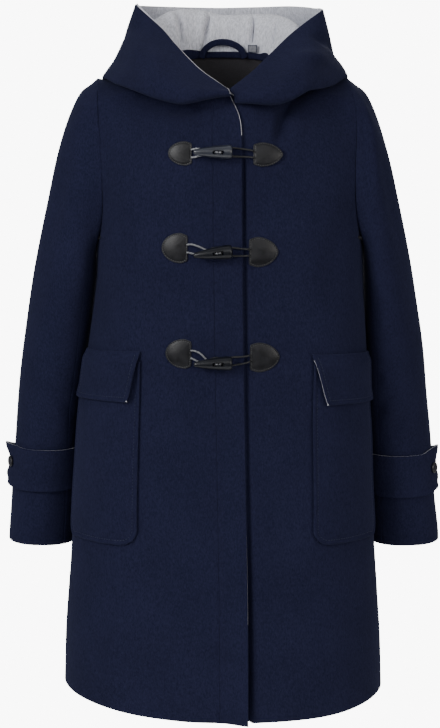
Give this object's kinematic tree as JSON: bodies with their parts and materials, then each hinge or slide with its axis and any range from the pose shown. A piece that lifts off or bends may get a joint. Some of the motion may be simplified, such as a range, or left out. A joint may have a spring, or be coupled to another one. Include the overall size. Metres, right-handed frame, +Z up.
{
  "type": "knee-length wool duffle coat, worn and filled out, held by its wearer's shoulders",
  "caption": "Hooded navy wool duffle coat with horn toggles on leather patches, patch pockets with flaps and buttoned cuff tabs, in its worn form with nobody in it",
  "frame": {"origin": "at the height of the back neck seam, on the middle plane, in the neck opening: where the wearer's neck and shoulders hold the coat", "axes": "+Z up, the front faces -Y, +X towards the wearer's left sleeve"},
  "size_m": [0.5918, 0.3443, 0.9272],
  "materials": {
    "wool_navy": "brushed wool",
    "lining_grey": "grey melange jersey",
    "facing_black": "plain weave",
    "leather_grey": "satin",
    "horn_grey": "polished imitation horn",
    "cord_grey": "satin",
    "button_dark": "satin",
    "label_white": "woven tape"
  },
  "bodies": {
    "root": {"back_left": "wool_navy", "back_right": "wool_navy", "button_stand": "wool_navy", "cuff_strap_left": "wool_navy", "cuff_strap_right": "wool_navy", "front_left": "wool_navy", "front_right": "wool_navy", "hanger_loop": "wool_navy", "hood_left": "wool_navy", "hood_right": "wool_navy", "neck_band": "wool_navy", "pocket_flap_left": "wool_navy", "pocket_flap_right": "wool_navy", "pocket_left": "wool_navy", "pocket_right": "wool_navy", "sleeve_under_left": "wool_navy", "sleeve_under_right": "wool_navy", "sleeve_upper_left": "wool_navy", "sleeve_upper_right": "wool_navy", "hood_lining": "lining_grey", "back_neck_facing": "facing_black", "size_tag": "label_white", "cuff_button_left": "button_dark", "cuff_button_right": "button_dark", "patch_left_1": "leather_grey", "patch_left_2": "leather_grey", "patch_left_3": "leather_grey", "patch_right_1": "leather_grey", "patch_right_2": "leather_grey", "patch_right_3": "leather_grey", "toggle_1": "horn_grey", "toggle_2": "horn_grey", "toggle_3": "horn_grey", "toggle_cord_1": "cord_grey", "toggle_cord_2": "cord_grey", "toggle_cord_3": "cord_grey", "fastening_loop_1": "cord_grey", "fastening_loop_2": "cord_grey", "fastening_loop_3": "cord_grey"}
  },
  "joints": []
}
